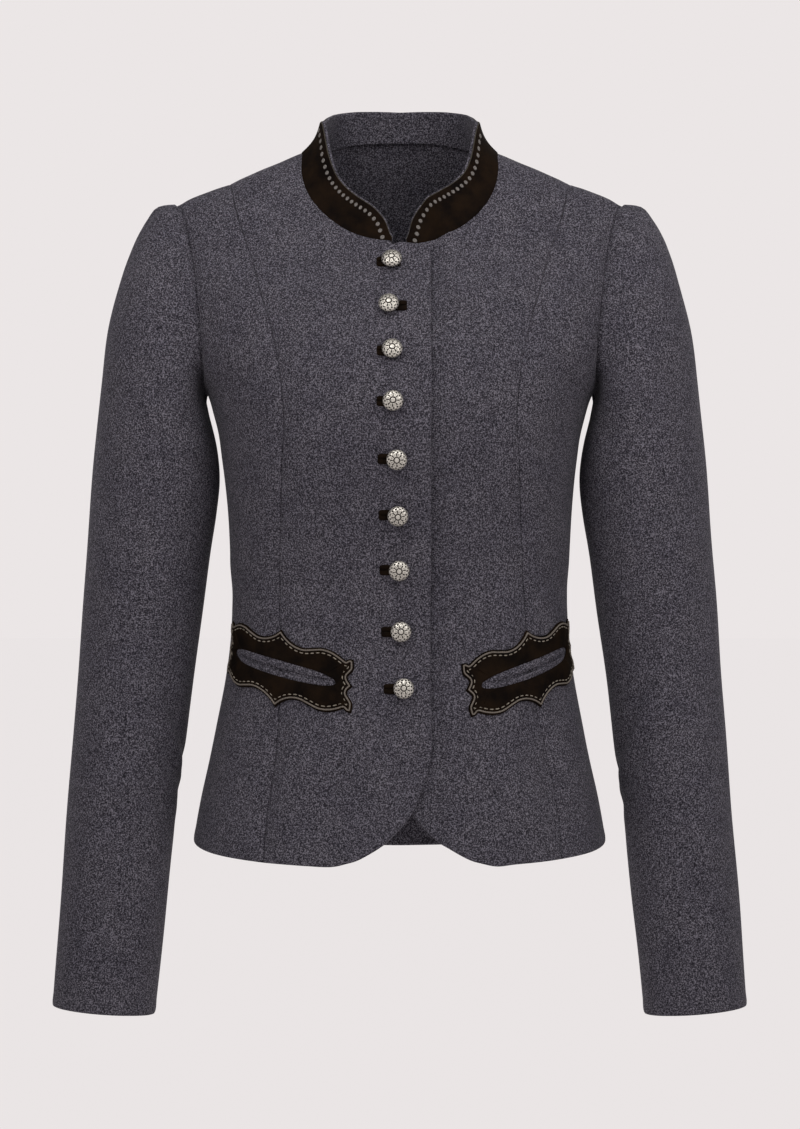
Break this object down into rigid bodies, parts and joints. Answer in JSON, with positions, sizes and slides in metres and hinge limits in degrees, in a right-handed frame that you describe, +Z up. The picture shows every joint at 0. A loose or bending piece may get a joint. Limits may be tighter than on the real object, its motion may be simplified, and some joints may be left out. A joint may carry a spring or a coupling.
{
  "type": "tyrolean loden jacket",
  "caption": "Hollow fitted traditional jacket of dark loden with a stand-up suede collar, scalloped suede pocket patches and domed metal buttons, closed at the front",
  "frame": {"origin": "where the wearer's shoulders hold the jacket: on the body's middle line, level with the side of the neck on the shoulder seams", "axes": "+Z is up, along the jacket's length; -Y is the front, where the buttons are; +X is the wearer's left"},
  "size_m": [0.5528, 0.2496, 0.7251],
  "materials": {
    "loden": "matt fulled wool cloth, charcoal melange",
    "suede": "matt very dark brown suede",
    "button_metal": "antiqued silver-coloured cast metal"
  },
  "bodies": {
    "root": {"back": "loden", "collar_facing": "loden", "collar_suede": "suede", "front_left": "loden", "front_right": "loden", "side_back_left": "loden", "side_back_right": "loden", "side_front_left": "loden", "side_front_right": "loden", "sleeve_left": "loden", "sleeve_right": "loden", "pocket_patch_left": "suede", "pocket_lip_upper_left": "loden", "pocket_lip_lower_left": "loden", "pocket_patch_right": "suede", "pocket_lip_upper_right": "loden", "pocket_lip_lower_right": "loden", "buttonhole_1": "suede", "button_1": "button_metal", "buttonhole_2": "suede", "button_2": "button_metal", "buttonhole_3": "suede", "button_3": "button_metal", "buttonhole_4": "suede", "button_4": "button_metal", "buttonhole_5": "suede", "button_5": "button_metal", "buttonhole_6": "suede", "button_6": "button_metal", "buttonhole_7": "suede", "button_7": "button_metal", "buttonhole_8": "suede", "button_8": "button_metal", "buttonhole_9": "suede", "button_9": "button_metal"}
  },
  "joints": []
}
